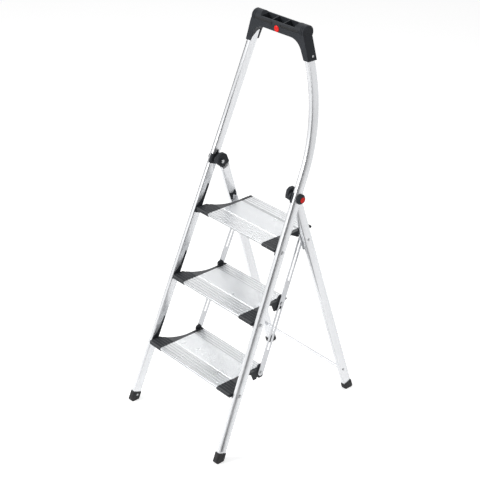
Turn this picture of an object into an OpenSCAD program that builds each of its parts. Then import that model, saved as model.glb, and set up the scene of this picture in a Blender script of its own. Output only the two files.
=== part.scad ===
// Folding step stool: three treads, tall front rails that bend into a tool
// tray used as a grab handle, and a rear frame that swings in behind them.
// +X is the user's right, the user climbs from -Y, +Z is up, floor at z = 0.

/* [Overall] */
// height of the top of the platform
platform_h = 681.5; // [560:0.5:760]
// rise from one tread to the next
step_rise = 227.7; // [190:0.1:250]
// half the distance between the rail centres at the floor
half_w = 232.8; // [190:0.1:280]

/* [Front rails] */
// backward lean of the rails, in degrees
rail_lean = 22.85; // [18:0.05:26]
// inward lean of the rails, in degrees
rail_splay = 1.76; // [0.5:0.01:3]
// width of the rail tube
rail_w = 17; // [14:0.5:22]
// depth of the rail tube
rail_d = 31; // [26:0.5:36]
// corner radius of the tubes
tube_r = 4; // [2:0.5:6]
// wall of the tubes
tube_wall = 1.6; // [1.2:0.1:2.5]
// height at which the rails start to bend
bend_h = 913; // [880:1:960]
// radius of the bend of the rails
bend_r = 755; // [650:5:900]
// direction of the bend, 0 is straight inwards and 90 straight forwards
bend_dir = 46; // [30:1:60]
// angle the bend turns through
bend_turn = 31; // [26:0.5:34]

/* [Rear legs] */
// forward lean of the legs, in degrees
leg_lean = 17; // [13:0.05:21]
// inward lean of the legs, in degrees
leg_splay = 1.71; // [0.5:0.01:3]
// width of the leg tube
leg_w = 17; // [14:0.5:20]
// depth of the leg tube
leg_d = 33; // [26:0.5:36]
// distance from the rail centre to the leg centre at hinge height
leg_in = 27.7; // [26:0.1:32]
// height of the cross bar
bar_h = 88; // [60:1:140]
// diameter of the cross bar
bar_dia = 11; // [8:0.5:16]

/* [Hinges] */
// height of the fold hinge
hinge_h = 837; // [800:1:880]
// how far the hinge axis is behind the rail centreline
hinge_back = 7.1; // [4:0.1:10]
// how far the leg centreline is behind the hinge axis
leg_back = 11; // [8:0.1:14]
// diameter of the hinge bolt
bolt_dia = 8; // [7:0.5:10]
// diameter of the outer hinge cap
dome_dia = 34; // [30:0.5:40]
// height of the outer hinge cap
dome_h = 10.5; // [9.5:0.5:16]
// diameter of the red discs
badge_dia = 21; // [14:0.5:24]

/* [Treads] */
// depth of a tread from nosing to rear edge
tread_d = 196.5; // [180:0.5:230]
// distance from the rail centre to the end of the aluminium deck
deck_in = 74.5; // [68:0.5:82]
// extra depth of the platform
top_extra = 8.5; // [0:0.5:14]
// thickness of a deck at its nosing
deck_h = 11; // [10:0.5:14]
// nosing ahead of the pivot, low tread
nose_low = 28.5; // [24:0.5:34]
// nosing ahead of the pivot, middle tread
nose_mid = 22.5; // [18:0.5:30]
// nosing ahead of the pivot, platform
nose_top = 14.5; // [12:0.5:24]
// height of the tread surface above the pivot
tread_up = 8.4; // [6:0.1:11]
// diameter of the tread pivots
pin_dia = 8; // [6:0.5:10]

/* [End caps] */
// gap between the rail's inner face and the wing of a cap
wing_gap = 3.5; // [2.6:0.1:6]
// length of the wing from the nosing
wing_len = 44.5; // [38:0.5:52]
// radius of the hollow curve behind the wing
hollow_r = 110; // [90:1:130]
// width of the strip beside the deck
strip_w = 13.5; // [11:0.5:16]
// depth of the skirt that carries the strap pivot
skirt_h = 37; // [30:0.5:42]
// height of the lug above the tread
lug_up = 16; // [10:0.5:20]
// wall of the caps
cap_wall = 3; // [2:0.5:4]

/* [Straps and studs] */
// distance of the strap pivots behind the tread pivots
strap_back = 151; // [140:1:160]
// distance of the strap pivots below the tread pivots
strap_down = 7; // [6:0.5:10]
// width of the straps
strap_w = 23.5; // [18:0.5:24]
// thickness of the straps
strap_t = 2.5; // [2:0.1:3]
// distance from the rail centre to the middle of the strap
strap_in = 58.2; // [57.5:0.1:59]
// how far the rivets of the stay plates are below the platform
plate_drop = 20.5; // [10:0.5:32]
// how far the studs are below the rivets of the stay plates
stud_drop = 24; // [18:0.5:30]

/* [Handle] */
// height of the top of the handle above the rail ends
tray_up = 57.8; // [53:0.1:62]
// from the top of the handle down to the underside of the arch
arch_drop = 46; // [40:1:56]
// from the top of the handle down to the lower ends of the sleeves
sleeve_drop = 106; // [92:1:120]
// half width outside the sleeves, at their lower ends
sleeve_x = 146; // [138:0.5:150]
// depth of the tray, front to rear
tray_d = 45; // [40:0.5:52]
// depth of the sleeves at their lower ends
sleeve_d = 37; // [34:0.5:40]
// how far the tray's front face is ahead of the rail ends
tray_fwd = 17.5; // [17:0.5:24]
// depth of the tray pockets
pocket_h = 21; // [14:1:24]

/* [Feet] */
// height of the front feet
foot_h = 32; // [28:1:44]
// height of the rear feet
rear_foot_h = 23; // [20:1:32]
// rubber around the tubes in the feet
foot_wall = 2.7; // [2:0.1:4]

/* [Clearances] */
// running clearance around pins that turn, radial
run_fit = 0.06; // [0.02:0.01:0.1]
// clearance between parts fastened together
snug = 0.15; // [0.05:0.05:0.3]
// side clearance between faces that slide past each other
side_fit = 0.4; // [0.3:0.05:0.6]

/* [Hidden] */
$fn = 64;

// colours
silver = [0.83, 0.84, 0.86];
bright = [0.72, 0.73, 0.75];
black = [0.17, 0.18, 0.2];
rubber = [0.1, 0.1, 0.11];
red = [0.86, 0.07, 0.05];

// a point of the right rail's own frame, x out, y rearward, s up the rail
function rail_vec(x, y, s) = [
    x * cos(rail_splay) - s * sin(rail_splay),
    y * cos(rail_lean) + (x * sin(rail_splay) + s * cos(rail_splay)) * sin(rail_lean),
    -y * sin(rail_lean) + (x * sin(rail_splay) + s * cos(rail_splay)) * cos(rail_lean)];

// feet: outlines along the floor, then the footprint is centred on y = 0
foot_w = rail_w + 2 * foot_wall;
foot_d = rail_d + 2 * foot_wall;
rear_foot_w = leg_w + 2 * foot_wall;
rear_foot_d = leg_d + 2 * foot_wall;
front_ext = foot_d / 2 / cos(rail_lean);
rear_ext = rear_foot_d / 2 / cos(leg_lean);
span = hinge_h * (tan(rail_lean) + tan(leg_lean))
    + hinge_back / cos(rail_lean) + leg_back / cos(leg_lean);
toe_h = 8;
toe_cut = 0.45;
// how far a sole reaches past its tube centre, its edge being rounded off
function toe(e, lean) = e * (1 - toe_cut)
    + (e * toe_cut) * (e * toe_cut) / (e * toe_cut + toe_h * tan(lean));
rail_y = -(span + toe(rear_ext, leg_lean) - toe(front_ext, rail_lean)) / 2;
leg_y = rail_y + span;

// rail and leg positions at a height
function rail_s(z) = z / (cos(rail_lean) * cos(rail_splay));
function rail_x(z) = half_w - z * tan(rail_splay) / cos(rail_lean);
function rail_yz(z) = rail_y + z * tan(rail_lean);
function leg_s(z) = z / (cos(leg_lean) * cos(leg_splay));
function leg_x(z) = leg_half - z * tan(leg_splay) / cos(leg_lean);
function leg_yz(z) = leg_y - z * tan(leg_lean);

hinge_x = rail_x(hinge_h);
leg_half = hinge_x - leg_in + hinge_h * tan(leg_splay) / cos(leg_lean);
hinge_y = rail_yz(hinge_h) + hinge_back / cos(rail_lean);
bar_up = 4;
beyond = 2 * half_w;

// treads: 0 low, 1 middle, 2 platform
nose = [nose_low, nose_mid, nose_top];
function tread_z(k) = platform_h - (2 - k) * step_rise;
function piv_z(k) = tread_z(k) - tread_up;
function piv_y(k) = rail_yz(piv_z(k));
plate_h = platform_h - plate_drop;
stud_h = plate_h - stud_drop;
function piv_x(k) = rail_x(piv_z(k));
function deck_half(k) = piv_x(k) - deck_in;
function depth(k) = tread_d + (k == 2 ? top_extra : 0);
wing_w = deck_in - rail_w / 2 - wing_gap;
hollow_v = wing_len + sqrt(pow(hollow_r, 2) - pow(hollow_r - (wing_w - strip_w), 2));

// tube end, where the tray sits
end_c = rail_vec(0, 0, rail_s(bend_h))
    + bend_r * sin(bend_turn) * rail_vec(0, 0, 1)
    - bend_r * (1 - cos(bend_turn)) * rail_vec(cos(bend_dir), sin(bend_dir), 0);
tray_y = rail_y + end_c[1] - tray_fwd;
top_h = end_c[2] + tray_up;
arch_h = top_h - arch_drop;
sleeve_h = top_h - sleeve_drop;

// tray outline
drum_r = tray_d / 2 + 0.2;
drum_z = top_h - drum_r;
drum_x = 121;
arch_flat = 65;
arch_r = 50;
arch_turn = 66;

// pins and heads
head_t = 2.4;
rivet_dia = 5;
rivet_head = 10;
pin_head = 13;
strap_head = 12;

// ---------------------------------------------------------------- helpers
module both() {
    children();
    mirror([1, 0, 0]) children();
}

module side(s) {
    mirror([s < 0 ? 1 : 0, 0, 0]) children();
}

module on_rail(z) {
    translate([rail_x(z), rail_yz(z), z])
        rotate([-rail_lean, 0, 0])
        rotate([0, -rail_splay, 0])
        children();
}

module on_leg(z) {
    translate([leg_x(z), leg_yz(z), z])
        rotate([leg_lean, 0, 0])
        rotate([0, -leg_splay, 0])
        children();
}

// cylinder along +X from x0 to x1
module xcyl(x0, x1, d) {
    translate([x0, 0, 0]) rotate([0, 90, 0]) cylinder(d = d, h = x1 - x0);
}

module rrect(w, d, r) {
    square([w - 2 * r, d], center = true);
    square([w, d - 2 * r], center = true);
    for (i = [-1, 1], j = [-1, 1])
        translate([i * (w / 2 - r), j * (d / 2 - r)]) circle(r = r);
}

// a domed rivet head growing along +X from x = 0
module head(d, t) {
    rotate([0, 90, 0]) {
        cylinder(d = d, h = t * 0.35);
        translate([0, 0, t * 0.35]) cylinder(d1 = d, d2 = d * 0.6, h = t * 0.65);
    }
}

module prism_x(x0, x1) {
    translate([x0, 0, 0]) rotate([90, 0, 90]) linear_extrude(x1 - x0) children();
}

// ---------------------------------------------------------------- rails
module rail_section(grow) {
    rrect(rail_w + 2 * grow, rail_d + 2 * grow, tube_r + grow);
}

// the bend is a hair fatter than the straight tube, which runs a little into it
bend_step = 0.02;

module rail_sweep(grow, low) {
    on_rail(low) linear_extrude(rail_s(bend_h - low) + 0.5) rail_section(grow);
    on_rail(bend_h)
        rotate([0, 0, 180 + bend_dir])
        translate([bend_r, 0, 0])
        rotate([90, 0, 0])
        rotate([0, 0, 180 - bend_turn])
        rotate_extrude(angle = bend_turn, $fn = 360)
        translate([bend_r, 0])
        rotate(-bend_dir)
        rail_section(grow + bend_step);
}

module tube_low_end(z) {
    on_rail(z) linear_extrude(rail_s(60)) rail_section(snug);
}

rail_low = 12;

module rail() {
    difference() {
        rail_sweep(0, rail_low);
        rail_sweep(-tube_wall, rail_low);
        for (k = [0 : 2])
            translate([piv_x(k), piv_y(k), piv_z(k)])
                xcyl(-rail_w, rail_w, pin_dia + 0.1);
        translate([hinge_x, hinge_y, hinge_h]) xcyl(-rail_w, rail_w, bolt_dia + 0.1);
    }
}

module rail_left() {
    color(silver) side(-1) rail();
}

module rail_right() {
    color(silver) side(1) rail();
}

// side outline that rounds the edges of a sole, flat on the floor
module sole_outline(reach, high) {
    polygon([[-reach * (1 - toe_cut), 0], [-reach, toe_h], [-reach - 1, high], [4 * reach, high],
        [4 * reach, toe_h], [reach - 0.5, 2], [reach - 3, 0]]);
}

// front foot: a rubber boot cut flat at the floor
module front_foot() {
    difference() {
        intersection() {
            on_rail(0) translate([0, 0, -foot_d]) linear_extrude(foot_d + foot_h)
                rrect(foot_w, foot_d, tube_r + foot_wall);
            translate([half_w, rail_y, 0]) prism_x(-foot_d, foot_d)
                sole_outline(front_ext, 3 * foot_h);
        }
        tube_low_end(rail_low);
        on_rail(foot_h / 2 + 5) xcyl(-foot_w, 0, rivet_dia);
    }
}

module front_foot_left() {
    color(rubber) side(-1) front_foot();
}

module front_foot_right() {
    color(rubber) side(1) front_foot();
}

module front_foot_rivets() {
    color(bright) both() on_rail(foot_h / 2 + 5) mirror([1, 0, 0]) {
        translate([foot_w / 2, 0, 0]) head(rivet_head * 0.8, head_t * 0.7);
        xcyl(rail_w / 2 + snug, foot_w / 2, rivet_dia);
    }
}

// ---------------------------------------------------------------- handle
module tray_outline() {
    ax = arch_flat + arch_r * sin(arch_turn);
    az = arch_h - arch_r * (1 - cos(arch_turn));
    bx = ax + (az - sleeve_h) / tan(arch_turn);
    difference() {
        for (i = [-1, 1])
            scale([i, 1]) polygon([[-5, arch_h - 1], [-5, drum_z], [drum_x - 4, drum_z],
                [drum_x + 1, drum_z - 8], [sleeve_x, sleeve_h], [arch_flat, sleeve_h],
                [arch_flat, arch_h - 1]]);
        translate([-arch_flat, sleeve_h - 10]) square([2 * arch_flat, arch_h - sleeve_h + 10]);
        for (i = [-1, 1]) {
            translate([i * arch_flat, arch_h - arch_r]) circle(r = arch_r, $fn = 96);
            scale([i, 1]) polygon([
                [-5, sleeve_h - 10], [-5, az], [ax, az], [bx, sleeve_h],
                [bx, sleeve_h - 10]]);
        }
    }
}

// round grip bar with bevelled ends
module drum() {
    bevel = 3;
    translate([0, tray_y + tray_d / 2, drum_z]) rotate([0, 90, 0])
        rotate_extrude() polygon([[0, -drum_x], [drum_r - bevel, -drum_x],
            [drum_r, bevel - drum_x], [drum_r, drum_x - bevel],
            [drum_r - bevel, drum_x], [0, drum_x]]);
}

// the top of the bar is cut away, lower at the front
module top_cut() {
    intersection() {
        prism_x(-drum_x, drum_x) translate([tray_y, top_h])
            polygon([[-2, -rim_front], [tray_d + 2, -rim_rear], [tray_d + 2, 9], [-2, 9]]);
        translate([0, tray_y + tray_d + 3, top_h]) rotate([90, 0, 0])
            linear_extrude(tray_d + 6) polygon([[-cut_x, -rim_front - 2], [cut_x, -rim_front - 2],
                [cut_x + 14, 8], [-cut_x - 14, 8]]);
    }
}

// the sleeves are open towards the middle of the arch
sleeve_open = 3;
rim_front = 14;
rim_rear = 5;
cut_x = 74;
pocket_w = 52;
pocket_wall = 2;
pocket_front = 5.5;
pocket_back = 10.5;

module tray() {
    color(black) difference() {
        union() {
            translate([0, tray_y + sleeve_d, 0]) rotate([90, 0, 0])
                linear_extrude(sleeve_d) tray_outline();
            drum();
        }
        top_cut();
        both() {
            rail_sweep(snug, bend_h - 5);
            translate([-sleeve_open, 0, 0]) rail_sweep(snug, bend_h - 5);
        }
        for (i = [-1 : 1])
            translate([(i - 0.5) * pocket_w + pocket_wall, tray_y + pocket_front,
                top_h - rim_front - pocket_h])
                cube([pocket_w - 2 * pocket_wall, tray_d - pocket_front - pocket_back,
                    pocket_h + rim_front]);
        translate([0, tray_y + 1.2, badge_z]) rotate([90, 0, 0])
            cylinder(d = badge_dia - 1, h = 2);
        both() translate([tray_rivet_x, tray_rivet_y, tray_rivet_z]) {
            xcyl(-8, 12, rivet_dia);
            xcyl(0, 12, rivet_head * 0.8 + 2 * snug);
        }
    }
}

badge_z = arch_h + badge_dia / 2;
tray_rivet_z = sleeve_h + 13;
tray_rivet_x = sleeve_x - 4;
tray_rivet_y = tray_y + 23;

module tray_badge() {
    color(red) translate([0, tray_y, badge_z]) rotate([90, 0, 0]) {
        translate([0, 0, -1.2]) cylinder(d = badge_dia - 1, h = 1.2);
        cylinder(d = badge_dia, h = 1);
        translate([0, 0, 1]) cylinder(d1 = badge_dia, d2 = badge_dia - 3, h = 0.6);
    }
}

module tray_rivets() {
    color(bright) both() translate([tray_rivet_x, tray_rivet_y, tray_rivet_z]) {
        head(rivet_head * 0.8, head_t);
        xcyl(-1.5, 0, rivet_dia - 0.2);
    }
}

// ---------------------------------------------------------------- tread pivots
guard_t = 2;
guard_len = 92;
guard_foot = 15;

// tapering plate on the inner face of the rail above a pivot
module guard_plate(k) {
    difference() {
        on_rail(piv_z(k)) prism_x(-rail_w / 2 - guard_t, -rail_w / 2)
            polygon([[-rail_d / 2 + 1, -guard_foot], [rail_d / 2 - 5, -guard_foot],
                [rail_d / 2 - 5, guard_len - 8], [rail_d / 2 - 7, guard_len],
                [rail_d / 2 - 9.5, guard_len], [rail_d / 2 - 12.5, guard_len / 2],
                [-4, 24], [-rail_d / 2 + 1, 10]]);
        translate([piv_x(k), piv_y(k), piv_z(k)]) xcyl(-rail_w, 0, pin_dia + 0.1);
    }
}

module guard_plates_left() {
    color(black) side(-1) for (k = [0 : 2]) guard_plate(k);
}

module guard_plates_right() {
    color(black) side(1) for (k = [0 : 2]) guard_plate(k);
}

pin_in = 36;

module pivot_pin(k) {
    translate([piv_x(k), piv_y(k), piv_z(k)]) {
        xcyl(-pin_in, rail_w / 2 + 0.3, pin_dia);
        translate([rail_w / 2 + 0.3, 0, 0]) head(pin_head, head_t);
    }
}

module pivot_pins_left() {
    color(bright) side(-1) for (k = [0 : 2]) pivot_pin(k);
}

module pivot_pins_right() {
    color(bright) side(1) for (k = [0 : 2]) pivot_pin(k);
}

// ---------------------------------------------------------------- hinges
clamp_wall = 2.6;
clamp_low = 15.5;
clamp_up = 17;
cheek_dia = 33;
clamp_half = rail_w / 2 + clamp_wall;

// black clamp round the inner half of the rail, with a fin
module hinge_clamp() {
    difference() {
        union() {
            on_rail(hinge_h) translate([0, 0, -clamp_low])
                linear_extrude(clamp_low + clamp_up) intersection() {
                    rrect(rail_w + 2 * clamp_wall, rail_d + 2 * clamp_wall,
                        tube_r + clamp_wall);
                    translate([-rail_w, -rail_d]) square([rail_w - 1, 2 * rail_d]);
                }
            on_rail(hinge_h) prism_x(-rail_w / 2 - clamp_wall, -rail_w / 2 - snug)
                polygon([[-9, clamp_up - 2], [7, clamp_up - 2], [7, clamp_up + 2],
                    [3, clamp_up + 18], [1.5, clamp_up + 18], [-9, clamp_up + 1]]);
            translate([hinge_x, hinge_y, hinge_h])
                xcyl(-clamp_half + 0.2, clamp_half, cheek_dia);
        }
        // the inner face is upright, so the shell passes it with even clearance
        translate([hinge_x - clamp_half - 50, hinge_y - 50, hinge_h - 50])
            cube([50, 100, 120]);
        on_rail(hinge_h - 60) linear_extrude(140) rail_section(snug);
        translate([hinge_x, hinge_y, hinge_h]) xcyl(-rail_w * 2, rail_w * 2, bolt_dia + 0.1);
    }
}

module hinge_clamp_left() {
    color(black) side(-1) hinge_clamp();
}

module hinge_clamp_right() {
    color(black) side(1) hinge_clamp();
}

// outer cap: a turned cone with a flat round end
module hinge_cap() {
    translate([hinge_x + clamp_half, hinge_y, hinge_h]) rotate([0, 90, 0]) difference() {
        rotate_extrude()
            polygon([[0, 0], [dome_dia / 2, 0], [dome_dia / 2, 2.4],
                [badge_dia / 2 + 1.2, dome_h - 1], [badge_dia / 2, dome_h], [0, dome_h]]);
        translate([0, 0, dome_h - 1.2]) cylinder(d = badge_dia - 2, h = 3);
        translate([0, 0, -1]) cylinder(d = bolt_dia + 0.1, h = bolt_out + 1.5);
    }
}

module hinge_cap_left() {
    color(black) side(-1) hinge_cap();
}

module hinge_cap_right() {
    color(black) side(1) hinge_cap();
}

module hinge_badge() {
    translate([hinge_x + clamp_half + dome_h - 1.2, hinge_y, hinge_h]) rotate([0, 90, 0]) {
        cylinder(d = badge_dia - 2, h = 1.2);
        translate([0, 0, 1.2]) cylinder(d1 = badge_dia - 2, d2 = badge_dia - 4, h = 0.6);
    }
}

module hinge_badge_left() {
    color(red) side(-1) hinge_badge();
}

module hinge_badge_right() {
    color(red) side(1) hinge_badge();
}

shell_out = clamp_half + side_fit;
shell_in = 38.5;
bolt_out = 7;

module hinge_bolt() {
    translate([hinge_x, hinge_y, hinge_h]) {
        xcyl(-shell_in - boss_t - side_fit, clamp_half + bolt_out, bolt_dia);
        translate([-shell_in - boss_t - side_fit, 0, 0]) mirror([1, 0, 0]) head(12, 3);
    }
}

module hinge_bolt_left() {
    color(bright) side(-1) hinge_bolt();
}

module hinge_bolt_right() {
    color(bright) side(1) hinge_bolt();
}

// ---------------------------------------------------------------- rear frame
leg_top = hinge_h + 20;
leg_low = 10;

// side outline that trims the upper end of the leg inside its shell
module leg_nose(grow) {
    translate([hinge_x, hinge_y, hinge_h]) prism_x(-60, 0)
        polygon([[-60, -200], [-60, 8 + grow], [0, 10 + grow], [17 + grow, 9 + grow],
            [28 + grow, -8], [200, -200]]);
}

module leg_tube(low, high, grow) {
    on_leg(low) linear_extrude(leg_s(high - low))
        rrect(leg_w + 2 * grow, leg_d + 2 * grow, tube_r + grow);
}

module leg() {
    difference() {
        intersection() {
            leg_tube(leg_low, leg_top, 0);
            union() {
                leg_nose(0);
                translate([0, 0, -1]) cube([beyond, beyond, hinge_h - 90]);
            }
        }
        leg_tube(leg_low, leg_top, -tube_wall);
        translate([hinge_x, hinge_y, hinge_h]) xcyl(-60, 0, bolt_dia + 2 * run_fit);
        on_plate() xcyl(-60, 0, rivet_dia + 0.1);
        on_bar() xcyl(leg_x(bar_h) - 20, leg_x(bar_h) + 20, rivet_dia + 0.1);
    }
}

module on_plate() {
    translate([piv_x(2), leg_yz(plate_h), plate_h]) children();
}

module on_stud() {
    translate([piv_x(2), stud_y, stud_h]) children();
}

module on_bar() {
    translate([0, leg_yz(bar_h) - bar_up, bar_h]) children();
}

module leg_left() {
    color(silver) side(-1) leg();
}

module leg_right() {
    color(silver) side(1) leg();
}

module rear_foot() {
    difference() {
        intersection() {
            on_leg(0) translate([0, 0, -rear_foot_d]) linear_extrude(rear_foot_d + rear_foot_h)
                rrect(rear_foot_w, rear_foot_d, tube_r + foot_wall);
            translate([leg_half, leg_y, 0]) mirror([0, 1, 0]) prism_x(-rear_foot_d, rear_foot_d)
                sole_outline(rear_ext, 3 * rear_foot_h);
        }
        leg_tube(leg_low, leg_low + 60, snug);
        on_leg(rear_foot_h / 2 + 3) xcyl(-rear_foot_w, 0, rivet_dia);
    }
}

module rear_foot_left() {
    color(rubber) side(-1) rear_foot();
}

module rear_foot_right() {
    color(rubber) side(1) rear_foot();
}

module rear_foot_rivets() {
    color(bright) both() on_leg(rear_foot_h / 2 + 3) mirror([1, 0, 0]) {
        translate([rear_foot_w / 2, 0, 0]) head(rivet_head * 0.8, head_t * 0.7);
        xcyl(leg_w / 2 + snug, rear_foot_w / 2, rivet_dia);
    }
}

// five-sided shell that closes the top of the leg, lower on its outer side
boss_t = 3;

module hinge_shell() {
    difference() {
        translate([hinge_x, hinge_y, hinge_h]) {
            prism_x(-shell_in, -shell_in + 12)
                polygon([[-15, 21], [-4, 27.5], [10, 27], [19, 20.5], [30, -6], [28, -12],
                    [1, -24], [-20, -5.5], [-19, 7]]);
            prism_x(-shell_in + 11, -shell_out - 6)
                polygon([[-13, 13], [0, 16], [20, 12], [30, -6], [28, -12], [1, -24],
                    [-20, -5.5], [-19, 4]]);
            xcyl(-shell_out - 7, -shell_out, cheek_dia - 3);
            xcyl(-shell_in - boss_t, -shell_in + 1, 21);
        }
        intersection() {
            leg_tube(hinge_h - 80, leg_top + 20, snug);
            leg_nose(snug);
        }
        translate([hinge_x, hinge_y, hinge_h]) xcyl(-60, 0, bolt_dia + 2 * run_fit);
    }
}

module hinge_shell_left() {
    color(black) side(-1) hinge_shell();
}

module hinge_shell_right() {
    color(black) side(1) hinge_shell();
}

bar_half = leg_x(bar_h) - leg_w / 2 - 0.6;

module cross_bar() {
    color(silver) on_bar() difference() {
        xcyl(-bar_half, bar_half, bar_dia);
        xcyl(-bar_half + 30, bar_half - 30, bar_dia - 3);
        both() xcyl(bar_half - 20, bar_half + 1, rivet_dia + 0.1);
    }
}

module bar_rivets() {
    color(bright) on_bar() both() {
        xcyl(bar_half - 12, leg_x(bar_h) + leg_w / 2 + 0.3, rivet_dia);
        translate([leg_x(bar_h) + leg_w / 2 + 0.3, 0, 0]) head(rivet_head, head_t);
    }
}

pad_t = 4;
plate_low = 38;
plate_up = 24;
plate_thick = 5;
plate_fwd = 2;
stud_dia = 7;

// the stud sits on the middle line of the strap; strap_run is the farthest that
// it gets below the top pin of the strap
strap_run = 185;
stud_y = piv_y(2) + strap_back - (piv_z(2) - strap_down - stud_h) * tan(rail_lean);
leg_gap = piv_x(2) - leg_x(plate_h) - leg_w / 2;
stud_end = strap_in - strap_t / 2 - side_fit - strap_run * tan(rail_splay);

// black pad on the inner face of the leg
module leg_pad() {
    on_leg(plate_h) prism_x(-leg_w / 2 - pad_t, -leg_w / 2)
        polygon([[-leg_d / 2 - 1, 54], [-12, 47], [1, 44], [9, 50], [8, 29], [3, 30],
            [0, 37], [-4, 38], [-10, plate_up + 0.2], [-leg_d / 2, plate_up + 0.2]]);
}

module leg_pad_left() {
    color(black) side(-1) leg_pad();
}

module leg_pad_right() {
    color(black) side(1) leg_pad();
}

// metal plate that carries the stud ahead of the leg
module stay_plate() {
    difference() {
        on_leg(plate_h) prism_x(-leg_w / 2 - plate_thick, -leg_w / 2)
            polygon([[-leg_d / 2 - 1, plate_up], [-leg_d / 2 - plate_fwd, 10],
                [-leg_d / 2 - plate_fwd, -plate_low], [leg_d / 2 - 12, -plate_low],
                [leg_d / 2 - 6, -10], [leg_d / 2 - 6, plate_up]]);
        on_plate() xcyl(-60, 0, rivet_dia + 0.1);
        on_stud() xcyl(-60, 0, stud_dia + 0.1);
    }
}

module stay_plate_left() {
    color(silver) side(-1) stay_plate();
}

module stay_plate_right() {
    color(silver) side(1) stay_plate();
}

module plate_rivets() {
    color(bright) both() on_plate() {
        xcyl(-leg_gap - leg_w - plate_thick - 0.4, -leg_gap + 0.4, rivet_dia);
        translate([-leg_gap + 0.4, 0, 0]) head(rivet_head, head_t);
        translate([-leg_gap - leg_w - plate_thick - 0.4, 0, 0]) mirror([1, 0, 0])
            head(rivet_head, head_t * 0.7);
    }
}

// stud that runs in the slot of the strap, stopped short of it
module stay_stud() {
    on_stud() {
        xcyl(-stud_end, -leg_gap - leg_w - 0.3, stud_dia);
        xcyl(-leg_gap - leg_w - plate_thick - 2.5, -leg_gap - leg_w - plate_thick - 0.3,
            rivet_head);
    }
}

module stay_stud_left() {
    color(bright) side(-1) stay_stud();
}

module stay_stud_right() {
    color(bright) side(1) stay_stud();
}

// ---------------------------------------------------------------- treads
plate_t = 2.4;
rib_h = 1.1;
band_pitch = 11.6;
band_groove = 3.6;
band_n = 5;
band_from = 6;
fine_from = 65;
fine_to = 150.5;
fine_pitch = 3.6;
rear_n = 4;
rear_pitch = 10.5;
nose_r = deck_h / 2;
lip_t = 1.8;
cap_nose_r = nose_r + 1.2;
cap_h = 2 * cap_nose_r;
edge_h = 7;

// side outline of a deck d deep, y from the nosing, z down from the tread
module deck_profile(d) {
    difference() {
        union() {
            translate([nose_r, -nose_r]) circle(r = nose_r);
            translate([nose_r, -rib_h - plate_t]) square([d - nose_r, plate_t]);
            translate([nose_r, -deck_h]) square([8, lip_t]);
        }
        translate([nose_r, -nose_r]) circle(r = nose_r - lip_t);
        translate([nose_r, -deck_h + lip_t])
            square([nose_r + 1, deck_h - rib_h - plate_t - lip_t]);
        translate([0, -rib_h]) square([nose_r, rib_h]);
        translate([-0.5, -nose_r]) circle(r = 1);
    }
    translate([nose_r - 1, -rib_h - plate_t]) square([3, plate_t]);
    translate([d - lip_t, -deck_h + 2]) square([lip_t, deck_h - 3.2]);
    translate([d - 8, -deck_h + 2]) square([8, lip_t]);
    for (y = [62, 128])
        translate([y, -deck_h + 1]) square([lip_t, deck_h - 3]);
    for (i = [0 : band_n - 1])
        translate([band_from + i * band_pitch, -rib_h - 0.5])
            square([band_pitch - band_groove, rib_h + 0.5]);
    for (y = [fine_from : fine_pitch : fine_to])
        translate([y, -rib_h - 0.5]) square([fine_pitch - 1.5, rib_h + 0.5]);
    for (i = [0 : rear_n - 1])
        translate([d - (i + 1) * rear_pitch + 0.2, -rib_h - 0.5])
            square([rear_pitch - band_groove, rib_h + 0.5]);
}

module on_tread(k) {
    translate([0, piv_y(k) - nose[k], tread_z(k)]) children();
}

module deck(k) {
    on_tread(k) prism_x(-deck_half(k), deck_half(k)) deck_profile(depth(k));
}

module deck_low() {
    color(silver) deck(0);
}

module deck_mid() {
    color(silver) deck(1);
}

module deck_top() {
    color(silver) deck(2);
}

// plan of a cap d deep, x outwards from the deck end, y from the nosing
module cap_plan(e, d) {
    cr = 8;
    proud = cap_nose_r - nose_r;
    difference() {
        translate([e, e - proud]) square([wing_w - 2 * e, d + proud - 2 * e]);
        translate([strip_w + hollow_r, hollow_v]) circle(r = hollow_r + e, $fn = 180);
        translate([strip_w - e, hollow_v]) square([wing_w, d]);
        translate([wing_w - cr, 0]) difference() {
            translate([0, -proud - 1]) square([cr + 1, cr + 1]);
            translate([0, cr - proud]) circle(r = cr - e);
        }
    }
}

module cap_side_profile(d) {
    translate([nose_r, -cap_nose_r]) circle(r = cap_nose_r);
    polygon([[nose_r, -cap_h], [wing_len + 6, -cap_h], [wing_len + 34, -edge_h],
        [d, -edge_h], [d, -rib_h], [nose_r, -rib_h]]);
}

// skirt and lug round the strap pivot, y from the tread pivot, z from the tread
module skirt_outline(k) {
    a = strap_back;
    if (k == 2)
        polygon([[a - 50, -rib_h - 1], [a - 50, -edge_h], [a - 20, -24], [a + 9, -24],
            [a + 13, -16], [a + 15, -rib_h - 1]]);
    else {
        polygon([[a - 47, -rib_h - 1], [a - 47, -edge_h], [a - 38, -cap_h],
            [a - 30, -skirt_h + 1], [a - 17, -skirt_h + 1], [a - 15, -skirt_h + 6],
            [a - 8, -skirt_h + 6], [a - 6, -skirt_h], [a + 9, -skirt_h],
            [a + 13, -skirt_h + 8], [a + 13, -cap_h], [a + 15, -rib_h - 1]]);
        polygon([[a - 12, -rib_h - 2], [a + 11, -rib_h - 2], [a + 11, lug_up - 5],
            [a + 6, lug_up], [a - 7, lug_up], [a - 12, lug_up - 5]]);
    }
}

skirt_t = 4;
boss_dia = 15.6;
knob_len = 6;
knob_dia = 9;

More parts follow.
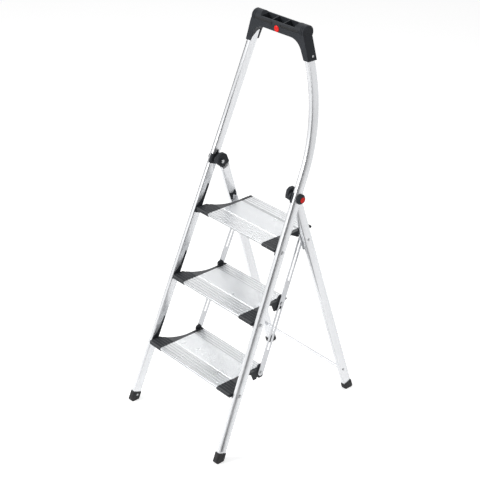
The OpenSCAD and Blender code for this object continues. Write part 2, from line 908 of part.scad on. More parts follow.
// way for the strap, which lies along the tread when the stool is folded
module strap_way(n) {
    half_t = strap_t / 2 + side_fit;
    x_pin = deck_in - strap_in;
    x_nose = x_pin + (n + strap_back) * tan(rail_splay);
    y_rear = hollow_v + 4;
    x_rear = x_pin + (n + strap_back - y_rear) * tan(rail_splay);
    translate([0, 0, -cap_h - 12])
        linear_extrude(cap_h + 12 - tread_up - strap_down + strap_w / 2 + side_fit)
        polygon([[x_nose - half_t, -2], [x_nose + half_t, -2],
            [x_rear + half_t, y_rear], [x_rear - half_t, y_rear]]);
}

module cap(k) {
    n = nose[k];
    on_tread(k) translate([deck_half(k), 0, 0]) difference() {
        union() {
            difference() {
                intersection() {
                    translate([0, 0, -cap_h - 10]) linear_extrude(cap_h + 10 - rib_h)
                        cap_plan(0, depth(k));
                    prism_x(-1, wing_w + 1) cap_side_profile(depth(k));
                }
                translate([0, 0, -cap_h - 12]) linear_extrude(cap_h + 12 - rib_h - cap_wall)
                    cap_plan(cap_wall, depth(k));
            }
            prism_x(strip_w - skirt_t, strip_w) translate([n, 0]) skirt_outline(k);
            translate([0, n, -tread_up]) xcyl(deck_in - pin_in - 2, wing_w, boss_dia);
            translate([deck_in - pin_in - 2, n - boss_dia / 2, -tread_up])
                cube([wing_w - deck_in + pin_in + 2, boss_dia, tread_up - rib_h]);
            // ribs in line with those of the deck, kept inside the outline
            intersection() {
                translate([0, 0, -rib_h - 0.5]) linear_extrude(rib_h + 0.5)
                    cap_plan(0.5, depth(k));
                union() {
                    for (i = [0 : band_n - 1])
                        translate([0, band_from + i * band_pitch, -rib_h - 0.5])
                            cube([wing_w, band_pitch - band_groove, rib_h + 0.5]);
                    for (i = [0 : rear_n - 1])
                        translate([0, depth(k) - (i + 1) * rear_pitch + 0.2, -rib_h - 0.5])
                            cube([strip_w, rear_pitch - band_groove, rib_h + 0.5]);
                }
            }
            translate([strip_w - knob_len, depth(k) - 1, -6])
                xcyl(0, knob_len + 0.3, knob_dia);
            // tongues that carry the deck
            translate([-18, 20, -deck_h])
                cube([20, 38, deck_h - rib_h - plate_t - snug]);
            translate([-18, 132, -deck_h])
                cube([20, 50, deck_h - rib_h - plate_t - snug]);
        }
        translate([0, n, -tread_up]) xcyl(0, wing_w + 1, pin_dia + 2 * run_fit);
        translate([0, n + strap_back, -tread_up - strap_down])
            xcyl(0, strip_w + 5, pin_dia + 0.1);
        strap_way(n);
    }
}

module cap_low_left() {
    color(black) side(-1) cap(0);
}

module cap_low_right() {
    color(black) side(1) cap(0);
}

module cap_mid_left() {
    color(black) side(-1) cap(1);
}

module cap_mid_right() {
    color(black) side(1) cap(1);
}

module cap_top_left() {
    color(black) side(-1) cap(2);
}

module cap_top_right() {
    color(black) side(1) cap(2);
}

// rivet through the skirt and the strap
module strap_pin(k) {
    out = -strap_in + strap_t / 2 + side_fit + 0.4;
    translate([piv_x(k), piv_y(k) + strap_back, piv_z(k) - strap_down]) {
        xcyl(-deck_in + strip_w - skirt_t - 0.3, out, pin_dia);
        translate([out, 0, 0]) head(strap_head, 1.3);
        translate([-deck_in + strip_w - skirt_t - 0.3, 0, 0]) mirror([1, 0, 0])
            xcyl(0, 2, strap_head);
    }
}

module strap_pins_low() {
    color(bright) both() strap_pin(0);
}

module strap_pins_mid() {
    color(bright) both() strap_pin(1);
}

module strap_pins_top() {
    color(bright) both() strap_pin(2);
}

// ---------------------------------------------------------------- straps
strap_gap = rail_s(step_rise);
slot_w = 9;
slot_top = 12;
slot_len = rail_s(139);

module strap() {
    translate([piv_x(2) - strap_in, piv_y(2) + strap_back, piv_z(2) - strap_down])
        difference() {
            rotate([-rail_lean, 0, 0]) rotate([0, -rail_splay, 0])
                prism_x(-strap_t / 2, strap_t / 2) difference() {
                    union() {
                        translate([-strap_w / 2, -2 * strap_gap])
                            square([strap_w, 2 * strap_gap]);
                        circle(d = strap_w);
                        translate([0, -2 * strap_gap]) circle(d = strap_w);
                    }
                    for (k = [0 : 1]) {
                        translate([-slot_w / 2, -k * strap_gap - slot_top - slot_len])
                            square([slot_w, slot_len]);
                        translate([0, -k * strap_gap - slot_top]) circle(d = slot_w);
                        translate([0, -k * strap_gap - slot_top - slot_len])
                            circle(d = slot_w);
                    }
                }
            for (k = [0 : 2])
                translate([0, -k * step_rise * tan(rail_lean), -k * step_rise])
                    xcyl(-60, 60, pin_dia + 2 * run_fit);
        }
}

module strap_left() {
    color(silver) side(-1) strap();
}

module strap_right() {
    color(silver) side(1) strap();
}

// ---------------------------------------------------------------- drawing
rail_left();
rail_right();
front_foot_left();
front_foot_right();
tray();
tray_badge();
tray_rivets();
guard_plates_left();
guard_plates_right();
pivot_pins_left();
pivot_pins_right();
hinge_clamp_left();
hinge_clamp_right();
hinge_cap_left();
hinge_cap_right();
hinge_badge_left();
hinge_badge_right();
hinge_bolt_left();
hinge_bolt_right();
front_foot_rivets();
leg_left();
leg_right();
rear_foot_left();
rear_foot_right();
hinge_shell_left();
hinge_shell_right();
cross_bar();
bar_rivets();
leg_pad_left();
leg_pad_right();
stay_plate_left();
stay_plate_right();
plate_rivets();
stay_stud_left();
stay_stud_right();
rear_foot_rivets();
deck_low();
cap_low_left();
cap_low_right();
strap_pins_low();
deck_mid();
cap_mid_left();
cap_mid_right();
strap_pins_mid();
deck_top();
cap_top_left();
cap_top_right();
strap_pins_top();
strap_left();
strap_right();
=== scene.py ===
import math

import bmesh
import bpy
import numpy as np
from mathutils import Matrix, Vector


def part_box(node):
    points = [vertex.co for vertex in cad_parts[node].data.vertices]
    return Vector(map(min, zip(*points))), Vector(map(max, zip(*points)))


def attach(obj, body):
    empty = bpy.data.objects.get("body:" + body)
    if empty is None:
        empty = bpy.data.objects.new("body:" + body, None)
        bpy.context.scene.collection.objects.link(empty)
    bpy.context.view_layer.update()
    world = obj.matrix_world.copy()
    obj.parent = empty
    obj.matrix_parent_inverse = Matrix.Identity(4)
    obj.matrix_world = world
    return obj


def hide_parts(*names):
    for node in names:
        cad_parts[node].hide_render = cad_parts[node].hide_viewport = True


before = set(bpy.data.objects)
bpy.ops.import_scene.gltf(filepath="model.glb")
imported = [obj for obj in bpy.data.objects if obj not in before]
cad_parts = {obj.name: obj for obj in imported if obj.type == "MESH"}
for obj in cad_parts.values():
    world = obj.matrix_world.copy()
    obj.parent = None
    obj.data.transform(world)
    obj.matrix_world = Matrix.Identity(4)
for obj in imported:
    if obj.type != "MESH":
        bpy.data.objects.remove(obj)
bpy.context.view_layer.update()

# The viewing place: in front of the stool and to its right, a little above the
# platform, with a long lens.
aim = Vector((0.0045, -0.0229, 0.6306))
view_azimuth = math.radians(49.24)
view_elevation = math.radians(28.08)
view_distance = 4.134
toward_camera = Vector((math.sin(view_azimuth) * math.cos(view_elevation),
                        -math.cos(view_azimuth) * math.cos(view_elevation),
                        math.sin(view_elevation)))
camera = bpy.data.objects.new("camera", bpy.data.cameras.new("camera"))
camera.data.lens = 93.85
camera.data.sensor_width = 36
camera.location = aim + view_distance * toward_camera
camera.rotation_euler = (-toward_camera).to_track_quat("-Z", "Y").to_euler()
bpy.context.scene.collection.objects.link(camera)
bpy.context.scene.camera = camera
bpy.context.scene.view_settings.view_transform = "Standard"


# The studio: a wide pale floor that ends in white, a white room, a large soft lamp
# over the left shoulder, a weaker one from the right and one from above.
def add_node(tree, kind, **settings):
    """A new shader node, with its properties set by name."""
    node = tree.nodes.new(kind)
    for name, value in settings.items():
        setattr(node, name, value)
    return node


def white_where_seen(tree, light_path):
    """One for camera, glossy and transmission rays, zero for the rest: a maximum of the three."""
    seen = light_path.outputs["Is Camera Ray"]
    for ray in ("Is Glossy Ray", "Is Transmission Ray"):
        larger = add_node(tree, "ShaderNodeMath", operation="MAXIMUM")
        tree.links.new(seen, larger.inputs[0])
        tree.links.new(light_path.outputs[ray], larger.inputs[1])
        seen = larger.outputs[0]
    return seen


room = bpy.data.worlds.new("white_room")
bpy.context.scene.world = room
room.use_nodes = True
tree = room.node_tree
tree.nodes.clear()
dim_room = add_node(tree, "ShaderNodeBackground")
dim_room.inputs["Color"].default_value = (1, 1, 1, 1)
dim_room.inputs["Strength"].default_value = 0.34
white_room = add_node(tree, "ShaderNodeBackground")
white_room.inputs["Color"].default_value = (1, 1, 1, 1)
white_room.inputs["Strength"].default_value = 1
choose = add_node(tree, "ShaderNodeMixShader")
world_output = add_node(tree, "ShaderNodeOutputWorld")
tree.links.new(white_where_seen(tree, add_node(tree, "ShaderNodeLightPath")), choose.inputs[0])
tree.links.new(dim_room.outputs[0], choose.inputs[1])
tree.links.new(white_room.outputs[0], choose.inputs[2])
tree.links.new(choose.outputs[0], world_output.inputs["Surface"])

floor_half = 12
below_feet = 0.0005
floor_mesh = bpy.data.meshes.new("floor")
floor_mesh.from_pydata([(-floor_half, -floor_half, 0), (floor_half, -floor_half, 0),
                        (floor_half, floor_half, 0), (-floor_half, floor_half, 0)],
                       [], [(0, 1, 2, 3)])
floor = bpy.data.objects.new("floor", floor_mesh)
floor.location.z = -below_feet
bpy.context.scene.collection.objects.link(floor)
floor_paint = bpy.data.materials.new("floor_paint")
floor_paint.use_nodes = True
tree = floor_paint.node_tree
tree.nodes.clear()
matt = add_node(tree, "ShaderNodeBsdfDiffuse")
matt.inputs["Color"].default_value = (0.86, 0.86, 0.86, 1)
lift = add_node(tree, "ShaderNodeEmission")
lift.inputs["Color"].default_value = (1, 1, 1, 1)
lift_share = add_node(tree, "ShaderNodeMath", operation="MULTIPLY")
lift_share.inputs[1].default_value = 0.6
together = add_node(tree, "ShaderNodeAddShader")
floor_output = add_node(tree, "ShaderNodeOutputMaterial")
tree.links.new(white_where_seen(tree, add_node(tree, "ShaderNodeLightPath")), lift_share.inputs[0])
tree.links.new(lift_share.outputs[0], lift.inputs["Strength"])
tree.links.new(matt.outputs[0], together.inputs[0])
tree.links.new(lift.outputs[0], together.inputs[1])
tree.links.new(together.outputs[0], floor_output.inputs["Surface"])
floor_mesh.materials.append(floor_paint)

for name, place, size, watts in (("key", (-1.9, -3.4, 2.7), 1.6, 95),
                                 ("fill", (3.0, -1.6, 2.4), 2.0, 16),
                                 ("top", (-0.6, 1.2, 3.8), 1.8, 30)):
    lamp = bpy.data.objects.new(name, bpy.data.lights.new(name, "AREA"))
    lamp.data.shape = "DISK"
    lamp.data.size = size
    lamp.data.energy = watts
    lamp.location = place
    lamp.rotation_euler = (aim - Vector(place)).to_track_quat("-Z", "Y").to_euler()
    bpy.context.scene.collection.objects.link(lamp)


# Dark flags of the studio: cards that only reflections see, so that bright metal shows
# its edges and turns grey away from the light. They cast no shadow.
flag_paint = bpy.data.materials.new("flag_paint")
flag_paint.use_nodes = True
flag_paint.node_tree.nodes["Principled BSDF"].inputs["Base Color"].default_value = (0.04, 0.04, 0.045, 1)
flag_paint.node_tree.nodes["Principled BSDF"].inputs["Roughness"].default_value = 1
flag_stops = 13
flag_reach = 2.6
for name, centre, first, last, near, far, low, high in (
        ("flag_inner", (0, 0), 180, 209, flag_reach, flag_reach, 0, 2.0),
        ("flag_front", (0, 0), 279, 352, flag_reach, flag_reach, 0, 1.7),
        ("flag_side", (0, 0), 0, 36, flag_reach, flag_reach, 0.3, 1.9),
        ("flag_floor", (0.233, -0.314), 0, 45, 0.06, 4.0, 0.003, 0.003)):
    turn = np.radians(np.linspace(first, last, flag_stops))
    heading = np.stack([np.cos(turn), np.sin(turn), 0 * turn], 1)
    lower = (*centre, low) + near * heading
    upper = (*centre, high) + far * heading
    card = bpy.data.meshes.new(name)
    card.from_pydata(np.concatenate([lower, upper]).tolist(), [],
                     [(k, k + 1, k + 1 + flag_stops, k + flag_stops) for k in range(flag_stops - 1)])
    card.materials.append(flag_paint)
    flag = bpy.data.objects.new(name, card)
    bpy.context.scene.collection.objects.link(flag)
    for ray in ("camera", "diffuse", "transmission", "volume_scatter", "shadow"):
        setattr(flag, "visible_" + ray, False)


# Rails: aluminium tube drawn through a die, which leaves fine lines along it, then bent
# inwards and forwards at the top and given a satin finish.
def surface(name, colour, metallic, roughness):
    """A material with its shader, the node tree, and the object coordinates to drive detail."""
    material = bpy.data.materials.new(name)
    material.use_nodes = True
    tree = material.node_tree
    shader = tree.nodes["Principled BSDF"]
    shader.inputs["Base Color"].default_value = (*colour, 1)
    shader.inputs["Metallic"].default_value = metallic
    shader.inputs["Roughness"].default_value = roughness
    place = add_node(tree, "ShaderNodeTexCoord").outputs["Object"]
    return material, tree, shader, place


def streaks(tree, place, turn, scale, detail=3):
    """Noise stretched by a Mapping node: turned by turn in degrees, scaled on each axis."""
    mapping = add_node(tree, "ShaderNodeMapping")
    mapping.inputs["Rotation"].default_value = [math.radians(a) for a in turn]
    mapping.inputs["Scale"].default_value = scale
    noise = add_node(tree, "ShaderNodeTexNoise")
    noise.inputs["Scale"].default_value = 1
    noise.inputs["Detail"].default_value = detail
    tree.links.new(place, mapping.inputs["Vector"])
    tree.links.new(mapping.outputs[0], noise.inputs["Vector"])
    return noise.outputs["Fac"]


def spread(tree, amount, low, high):
    """A noise value of 0.3 to 0.7 carried to low to high in a straight line."""
    band = add_node(tree, "ShaderNodeMapRange")
    band.inputs["From Min"].default_value = 0.3
    band.inputs["From Max"].default_value = 0.7
    band.inputs["To Min"].default_value = low
    band.inputs["To Max"].default_value = high
    tree.links.new(amount, band.inputs["Value"])
    return band.outputs[0]


def tint(tree, shader, amount, dark, light):
    """Base colour that runs from dark to light with a noise value."""
    ramp = add_node(tree, "ShaderNodeValToRGB")
    ramp.color_ramp.elements[0].position = 0.3
    ramp.color_ramp.elements[0].color = (*dark, 1)
    ramp.color_ramp.elements[1].position = 0.7
    ramp.color_ramp.elements[1].color = (*light, 1)
    tree.links.new(amount, ramp.inputs[0])
    tree.links.new(ramp.outputs[0], shader.inputs["Base Color"])


def relief(tree, shader, amount, depth):
    """A bump of depth metres from a noise value."""
    bump = add_node(tree, "ShaderNodeBump")
    bump.inputs["Distance"].default_value = depth
    bump.inputs["Strength"].default_value = 1
    tree.links.new(amount, bump.inputs["Height"])
    tree.links.new(bump.outputs[0], shader.inputs["Normal"])


def dress(material, *names):
    """Puts the material in every slot of the named CAD nodes."""
    for name in names:
        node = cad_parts[name]
        for slot in node.material_slots:
            slot.material = material
        if not node.material_slots:
            node.data.materials.append(material)


def tube_ring(width, depth, corner, crown, steps=9):
    """A rounded rectangle whose sides bulge: four corner arcs, and between them parabolas
    that stand proud by crown in the middle. Points run anticlockwise, with the distance
    round the ring as their second coordinate."""
    half_x, half_y = width / 2, depth / 2
    turn = np.linspace(0, math.pi / 2, steps)
    along = np.linspace(-1, 1, 2 * steps + 1)[1:-1]
    bulge = crown * (1 - along ** 2)
    arc = corner * np.stack([np.cos(turn), np.sin(turn)], 1)
    top = np.stack([-along * (half_x - corner), half_y + bulge], 1)
    side = np.stack([-half_x - bulge, -along * (half_y - corner)], 1)
    first = np.concatenate([arc + (half_x - corner, half_y - corner), top,
                            arc @ np.array([[0, 1], [-1, 0]]) + (corner - half_x, half_y - corner),
                            side])
    ring = np.concatenate([first, -first])
    step = np.linalg.norm(np.roll(ring, -1, 0) - ring, axis=1)
    return ring, np.concatenate([[0], np.cumsum(step)])


def skin(name, rings, around, along):
    """A closed tube through rings of equal count: quads between neighbours, a fan of one
    polygon on each end, and a UV map of metres round and metres along."""
    count, size, _ = rings.shape
    vertices = rings.reshape(-1, 3)
    index = np.arange(count * size).reshape(count, size)
    right = np.roll(index, -1, 1)
    quads = np.stack([index[:-1], right[:-1], right[1:], index[1:]], -1).reshape(-1, 4)
    faces = quads.tolist() + [index[0, ::-1].tolist(), index[-1].tolist()]
    mesh = bpy.data.meshes.new(name)
    mesh.from_pydata(vertices.tolist(), [], faces)
    uv = mesh.uv_layers.new(name="length")
    low = np.broadcast_to(around[:-1], (count - 1, size))
    high = np.broadcast_to(around[1:], (count - 1, size))
    before = np.broadcast_to(along[:-1, None], low.shape)
    after = np.broadcast_to(along[1:, None], low.shape)
    corners = np.stack([low, before, high, before, high, after, low, after], -1).reshape(-1)
    flat = np.zeros(2 * len(mesh.loops), dtype=np.float32)
    flat[:corners.size] = corners
    uv.data.foreach_set("uv", flat)
    mesh.polygons.foreach_set("use_smooth", [True] * len(quads) + [False, False])
    mesh.validate()
    piece = bpy.data.objects.new(name, mesh)
    bpy.context.scene.collection.objects.link(piece)
    return piece


def lean_frame(lean, splay):
    """Unit vectors out, back and up of a tube that leans by lean and splays by splay."""
    lean_cos, lean_sin = math.cos(lean), math.sin(lean)
    splay_cos, splay_sin = math.cos(splay), math.sin(splay)
    return (np.array([splay_cos, splay_sin * lean_sin, splay_sin * lean_cos]),
            np.array([0, lean_cos, -lean_sin]),
            np.array([-splay_sin, splay_cos * lean_sin, splay_cos * lean_cos]))


def tube_metal(name):
    """Satin metal with die lines along the tube, from its UV map in metres."""
    material, tree, shader, place = surface(name, (0.72, 0.73, 0.75), 0.72, 0.22)
    lengthwise = add_node(tree, "ShaderNodeUVMap", uv_map="length").outputs[0]
    lines = streaks(tree, lengthwise, (0, 0, 0), (1400, 6, 1))
    cloud = streaks(tree, place, (0, 0, 0), (9, 9, 4))
    tint(tree, shader, lines, (0.77, 0.78, 0.8), (0.88, 0.89, 0.91))
    tree.links.new(spread(tree, cloud, 0.18, 0.26), shader.inputs["Roughness"])
    relief(tree, shader, lines, 0.000015)
    return material


def tube_pair(part, rings, around, along, metal, body):
    """The right tube through the rings, and the left one mirrored in x = 0 with its rings
    turned the other way round, each in place of the plain tube of its side."""
    for side, sided in (("right", rings), ("left", rings[:, ::-1] * (-1, 1, 1))):
        tube = skin("%s_%s_tube" % (part, side), sided, around, along)
        tube.data.materials.append(metal)
        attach(tube, body)
        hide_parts("%s_%s" % (part, side))


tube_width = 0.017
tube_corner = 0.0035
crown = 0.0005
tube_start = 0.014
rail_depth = 0.031
rail_lean = math.radians(22.85)
rail_splay = math.radians(1.76)
rail_foot = np.array([0.2328, -0.31433, 0])
bend_height = 0.913
bend_radius = 0.755
bend_turn = math.radians(31)
bend_heading = math.radians(46)
straight_stops, bend_stops = 40, 48
out, back, up = lean_frame(rail_lean, rail_splay)
straight = bend_height / up[2]
inward = math.cos(bend_heading) * out + math.sin(bend_heading) * back
across = math.cos(bend_heading) * back - math.sin(bend_heading) * out
ring, around = tube_ring(tube_width, rail_depth, tube_corner, crown)
ring_in = ring[:, :1] * math.cos(bend_heading) + ring[:, 1:] * math.sin(bend_heading)
ring_across = ring[:, 1:] * math.cos(bend_heading) - ring[:, :1] * math.sin(bend_heading)
reach = np.concatenate([np.linspace(tube_start, straight, straight_stops), np.zeros(bend_stops)])
angle = np.concatenate([np.zeros(straight_stops), np.linspace(0, bend_turn, bend_stops + 1)[1:]])
centre = (rail_foot + up * np.where(angle > 0, straight, reach)[:, None]
          + bend_radius * (np.sin(angle)[:, None] * up - (1 - np.cos(angle))[:, None] * inward))
turned_in = np.cos(angle)[:, None] * inward + np.sin(angle)[:, None] * up
rings = centre[:, None] + ring_in[None] * turned_in[:, None] + ring_across[None] * across
length = np.where(angle > 0, straight + bend_radius * angle, reach)
tube_pair("rail", rings, around, length, tube_metal("rail_drawn_aluminium"), "front_frame")

# Rear legs: the same drawn tube, a little deeper and straight. It runs from the rubber
# foot to inside the hinge shell, and leans the other way.
leg_depth = 0.033
leg_lean = math.radians(-17)
leg_splay = math.radians(1.71)
leg_inset = 0.0277
leg_behind_bolt = 0.011
leg_below_bolt = 0.012
out, back, up = lean_frame(leg_lean, leg_splay)
ring, around = tube_ring(tube_width, leg_depth, tube_corner, crown)
hinge_middle = (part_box("hinge_bolt_right")[0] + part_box("hinge_bolt_right")[1]) / 2
rail_at_hinge = rail_foot[0] - hinge_middle.z * math.tan(rail_splay) / math.cos(rail_lean)
leg_at_hinge = np.array([rail_at_hinge - leg_inset,
                         hinge_middle.y + leg_behind_bolt / math.cos(leg_lean), hinge_middle.z])
run = np.linspace((tube_start - leg_at_hinge[2]) / up[2], -leg_below_bolt, straight_stops)
rings = (leg_at_hinge + run[:, None] * up)[:, None] + ring[:, :1] * out + ring[:, 1:] * back
tube_pair("leg", rings, around, run - run[0], tube_metal("leg_drawn_aluminium"), "rear_frame")

# Cross bar: a thin drawn tube between the rear legs, riveted at both ends. Its die lines
# run across the stool.
bar_metal, tree, shader, place = surface("bar_drawn_aluminium", (0.82, 0.83, 0.85), 1, 0.3)
lines = streaks(tree, place, (0, 0, 0), (5, 900, 900))
tint(tree, shader, lines, (0.68, 0.69, 0.71), (0.8, 0.81, 0.83))
relief(tree, shader, lines, 0.00002)
dress(bar_metal, "cross_bar")

# Decks: ribbed aluminium extrusions, whose die lines run across the stool. Feet have
# dulled them unevenly. The groove floors are painted darker, as painted shade, and the
# fine ribs in the middle are painted paler, as painted light.
def groove_ramp(tree, place, top, first, last):
    """Rises from zero to one between first and last metres below the top of a tread."""
    axes = add_node(tree, "ShaderNodeSeparateXYZ")
    tree.links.new(place, axes.inputs[0])
    rise = add_node(tree, "ShaderNodeMapRange")
    rise.inputs["From Min"].default_value = top - first
    rise.inputs["From Max"].default_value = top - last
    tree.links.new(axes.outputs["Z"], rise.inputs["Value"])
    return rise.outputs[0]


def mix_base(tree, shader, share, second):
    """Base colour goes from what it was to a second colour as share goes from zero to one."""
    blend = add_node(tree, "ShaderNodeMix", data_type="RGBA")
    colours = [socket for socket in blend.inputs if socket.type == "RGBA"]
    colours[1].default_value = (*second, 1)
    tree.links.new(share, blend.inputs["Factor"])
    tree.links.new(shader.inputs["Base Color"].links[0].from_socket, colours[0])
    tree.links.new([socket for socket in blend.outputs if socket.type == "RGBA"][0],
                   shader.inputs["Base Color"])


def between(tree, place, first, last, soft):
    """One where first < y < last, falling to zero over soft metres beyond: the product of
    a rising and a falling ramp."""
    axes = add_node(tree, "ShaderNodeSeparateXYZ")
    tree.links.new(place, axes.inputs[0])
    share = add_node(tree, "ShaderNodeMath", operation="MULTIPLY")
    for side, (start, end) in enumerate(((first - soft, first), (last + soft, last))):
        ramp = add_node(tree, "ShaderNodeMapRange")
        ramp.inputs["From Min"].default_value = start
        ramp.inputs["From Max"].default_value = end
        tree.links.new(axes.outputs["Y"], ramp.inputs["Value"])
        tree.links.new(ramp.outputs[0], share.inputs[side])
    return share.outputs[0]


rib_edge, groove_floor = 0.0004, 0.0009
fine_from, fine_to, fine_soft = 0.0635, 0.1505, 0.002
for step in ("low", "mid", "top"):
    front_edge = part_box("deck_" + step)[0].y
    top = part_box("deck_" + step)[1].z
    deck_metal, tree, shader, place = surface("deck_aluminium_" + step, (0.74, 0.75, 0.76), 1, 0.3)
    lines = streaks(tree, place, (0, 0, 0), (4, 1100, 1100))
    scuffs = streaks(tree, place, (0, 0, 25), (22, 9, 9), 2)
    tint(tree, shader, lines, (0.78, 0.79, 0.8), (0.83, 0.84, 0.85))
    # Painted shade: the groove floors, below the rib tops, get a darker base colour.
    groove_painted_shade = groove_ramp(tree, place, top, rib_edge, groove_floor)
    mix_base(tree, shader, groove_painted_shade, (0.5, 0.51, 0.52))
    # Painted light: the fine ribs in the middle, grooves and tops alike, get a paler base colour.
    fine_ribs_painted_light = between(tree, place, front_edge + fine_from, front_edge + fine_to, fine_soft)
    mix_base(tree, shader, fine_ribs_painted_light, (0.86, 0.87, 0.88))
    tree.links.new(spread(tree, scuffs, 0.27, 0.33), shader.inputs["Roughness"])
    relief(tree, shader, lines, 0.00001)
    dress(deck_metal, "deck_" + step)

# Straps and stay plates: flat aluminium strip, slotted, cut to length and tumbled
# smooth. The straps are riveted to the treads and the plates to the rear legs.
strip_metal, tree, shader, place = surface("flat_strip_aluminium", (0.8, 0.81, 0.83), 1, 0.34)
lines = streaks(tree, place, (math.degrees(rail_lean), 0, 0), (700, 700, 12))
tint(tree, shader, lines, (0.55, 0.56, 0.58), (0.66, 0.67, 0.69))
relief(tree, shader, lines, 0.00002)
dress(strip_metal, "strap_left", "strap_right", "stay_plate_left", "stay_plate_right")

# Rivets, pins, studs and bolts: turned steel with a bright zinc plating, which shows a
# faint crystal mottle.
zinc, tree, shader, place = surface("zinc_plated_steel", (0.68, 0.69, 0.7), 1, 0.25)
mottle = streaks(tree, place, (0, 0, 0), (420, 420, 420), 4)
tint(tree, shader, mottle, (0.4, 0.41, 0.42), (0.6, 0.61, 0.62))
tree.links.new(spread(tree, mottle, 0.2, 0.34), shader.inputs["Roughness"])
dress(zinc, "front_foot_rivets", "tray_rivets", "pivot_pins_left", "pivot_pins_right",
      "hinge_bolt_left", "hinge_bolt_right", "bar_rivets", "plate_rivets", "rear_foot_rivets",
      "stay_stud_left", "stay_stud_right", "strap_pins_low", "strap_pins_mid", "strap_pins_top")

# Handle, clamps, shells, hinge caps, guard plates and leg pads: anthracite polypropylene
# from a spark-eroded mould, which leaves a fine even grain.
plastic, tree, shader, place = surface("grained_anthracite_plastic", (0.03, 0.033, 0.038), 0, 0.5)
shader.inputs["Specular IOR Level"].default_value = 0.16
grain = streaks(tree, place, (0, 0, 0), (1500, 1500, 1500), 2)
cloud = streaks(tree, place, (0, 0, 0), (30, 30, 30), 3)
tint(tree, shader, cloud, (0.026, 0.029, 0.034), (0.038, 0.042, 0.049))
tree.links.new(spread(tree, cloud, 0.44, 0.56), shader.inputs["Roughness"])
relief(tree, shader, grain, 0.00006)
dress(plastic, "tray", "guard_plates_left", "guard_plates_right", "hinge_clamp_left",
      "hinge_clamp_right", "hinge_cap_left", "hinge_cap_right", "hinge_shell_left",
      "hinge_shell_right", "leg_pad_left", "leg_pad_right")

# Tread caps: the same plastic, pushed into the ends of the decks. The groove floors are
# painted paler, as painted highlights that stand for the light lines along the ribs;
# deeper down, their sides keep the plain colour.
side_from, side_to = 0.0013, 0.0016
for step in ("low", "mid", "top"):
    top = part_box("deck_" + step)[1].z
    cap_plastic, tree, shader, place = surface("cap_plastic_" + step, (0.04, 0.044, 0.05), 0, 0.46)
    shader.inputs["Specular IOR Level"].default_value = 0.25
    grain = streaks(tree, place, (0, 0, 0), (1500, 1500, 1500), 2)
    tint(tree, shader, grain, (0.024, 0.027, 0.031), (0.036, 0.04, 0.046))
    # Painted highlight: a pale band on the groove floors, which stands for the light lines along the
    # ribs.
    groove_painted_highlight = add_node(tree, "ShaderNodeMath", operation="SUBTRACT", use_clamp=True)
    tree.links.new(groove_ramp(tree, place, top, rib_edge, groove_floor), groove_painted_highlight.inputs[0])
    tree.links.new(groove_ramp(tree, place, top, side_from, side_to), groove_painted_highlight.inputs[1])
    mix_base(tree, shader, groove_painted_highlight.outputs[0], (0.11, 0.113, 0.118))
    relief(tree, shader, grain, 0.00006)
    dress(cap_plastic, "cap_%s_left" % step, "cap_%s_right" % step)

# Handle details, moulded with it: two long grip slots on the front of the bar, and
# two round ribs near each end.
bar_radius = 0.0227
bar_top = 1.357
bar_axis_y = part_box("tray")[1].y - bar_radius
bar_axis_z = bar_top - bar_radius


def round_bar(x, arc, height):
    """Carries flat x and arc length to the bar: the arc turns about its axis from the
    front, and height stands off its surface."""
    turn = arc / bar_radius
    return np.stack([x, bar_axis_y - (bar_radius + height) * np.cos(turn),
                     bar_axis_z + (bar_radius + height) * np.sin(turn)], -1)


def ring_surface(name, grid, closed_section):
    """A closed surface from a grid that wraps round its second direction, and also round
    its first where the section closes; otherwise its two ends get a polygon each."""
    count, size, _ = grid.shape
    index = np.arange(count * size).reshape(count, size)
    ahead = np.roll(index, -1, 0) if closed_section else index[1:]
    here = index if closed_section else index[:-1]
    quads = np.stack([here, np.roll(here, -1, 1), np.roll(ahead, -1, 1), ahead], -1)
    faces = quads.reshape(-1, 4).tolist()
    if not closed_section:
        faces += [index[0, ::-1].tolist(), index[-1].tolist()]
    mesh = bpy.data.meshes.new(name)
    mesh.from_pydata(grid.reshape(-1, 3).tolist(), [], faces)
    shape = bmesh.new()
    shape.from_mesh(mesh)
    bmesh.ops.recalc_face_normals(shape, faces=shape.faces)
    shape.to_mesh(mesh)
    shape.free()
    mesh.polygons.foreach_set("use_smooth", [True] * len(mesh.polygons))
    piece = bpy.data.objects.new(name, mesh)
    bpy.context.scene.collection.objects.link(piece)
    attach(piece, "front_frame")
    return piece
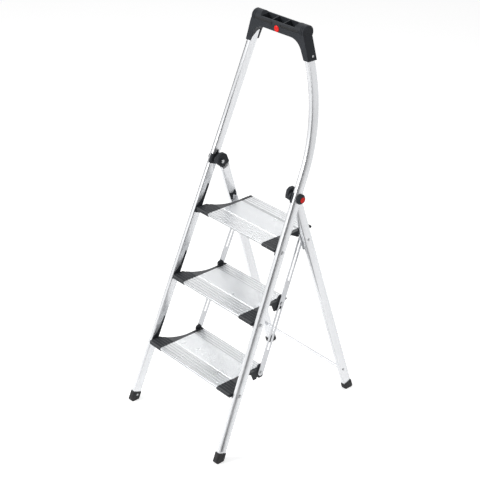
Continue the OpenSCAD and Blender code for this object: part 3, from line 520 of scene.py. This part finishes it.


# Painted shade: the slot floors get a near-black colour, darker than the handle plastic, for the shade
# inside the grip slots.
slot_painted_shade, tree, shader, place = surface("slot_floor_painted_shade", (0.004, 0.0045, 0.005), 0, 0.7)
grain = streaks(tree, place, (0, 0, 0), (1500, 1500, 1500), 2)
tint(tree, shader, grain, (0.003, 0.0035, 0.004), (0.006, 0.0065, 0.007))
slot_half = 0.036
slot_radius = 0.0048
slot_middle = {"left": -0.063, "right": 0.057}
slot_arc = 0.0005
lip = 0.0014
bed_share = np.array([0.999, 0.999, 0.5, 0.02])[:, None]
bed_height = np.array([-0.0006, 0.0001, 0.0001, 0.0001])[:, None]
sweep = np.linspace(0, 2 * math.pi, 73)[:-1]
section = np.linspace(0, 2 * math.pi, 13)[:-1]
rim_radius = slot_radius + lip * np.cos(section)[:, None]
rim_height = lip * np.sin(section)[:, None] + 0 * sweep
for side, middle in slot_middle.items():
    end = middle + np.sign(np.cos(sweep)) * slot_half
    rim = ring_surface("grip_slot_%s_rim" % side,
                       round_bar(end + rim_radius * np.cos(sweep),
                                 slot_arc + rim_radius * np.sin(sweep), rim_height), True)
    rim.data.materials.append(plastic)
    bed = ring_surface("grip_slot_%s_floor" % side,
                       round_bar(end + slot_radius * bed_share * np.cos(sweep),
                                 slot_arc + slot_radius * bed_share * np.sin(sweep),
                                 bed_height + 0 * sweep), False)
    bed.data.materials.append(slot_painted_shade)
rib_half_width = 0.0016
rib_low, rib_high, rib_stops = -0.9, 1.2, 40
rib_middle = (rib_low + rib_high) / 2
rib_taper = 1.06
run = np.linspace(rib_low, rib_high, rib_stops)[:, None]
thick = rib_half_width * np.sqrt(np.clip(1 - ((run - rib_middle) / rib_taper) ** 2, 0.002, 1))
for rib_x in (-0.112, -0.105, 0.105, 0.112):
    rib = ring_surface("end_rib_%d" % round(1000 * (rib_x + 0.2)),
                       round_bar(rib_x + thick * np.cos(section),
                                 bar_radius * run + 0 * section, thick * np.sin(section)), False)
    rib.data.materials.append(plastic)

# Feet: black rubber boots, pushed over the ends of the tubes and riveted. They are matt
# and hold dust in their grain.
rubber, tree, shader, place = surface("boot_rubber", (0.02, 0.02, 0.022), 0, 0.72)
grain = streaks(tree, place, (0, 0, 0), (900, 900, 900), 3)
tint(tree, shader, streaks(tree, place, (0, 0, 0), (50, 50, 50), 5),
     (0.016, 0.016, 0.018), (0.034, 0.033, 0.034))
relief(tree, shader, grain, 0.0001)
dress(rubber, "front_foot_left", "front_foot_right", "rear_foot_left", "rear_foot_right")

# Red discs on the handle and the hinge caps: smooth moulded plastic, pressed in. They
# are bare.
red, tree, shader, place = surface("smooth_red_plastic", (0.95, 0.012, 0.007), 0, 0.3)
shader.inputs["Specular IOR Level"].default_value = 0.2
swirl = streaks(tree, place, (0, 0, 0), (120, 120, 120), 3)
tint(tree, shader, swirl, (0.92, 0.01, 0.006), (0.98, 0.014, 0.009))
tree.links.new(spread(tree, swirl, 0.2, 0.3), shader.inputs["Roughness"])
dress(red, "tray_badge", "hinge_badge_left", "hinge_badge_right")
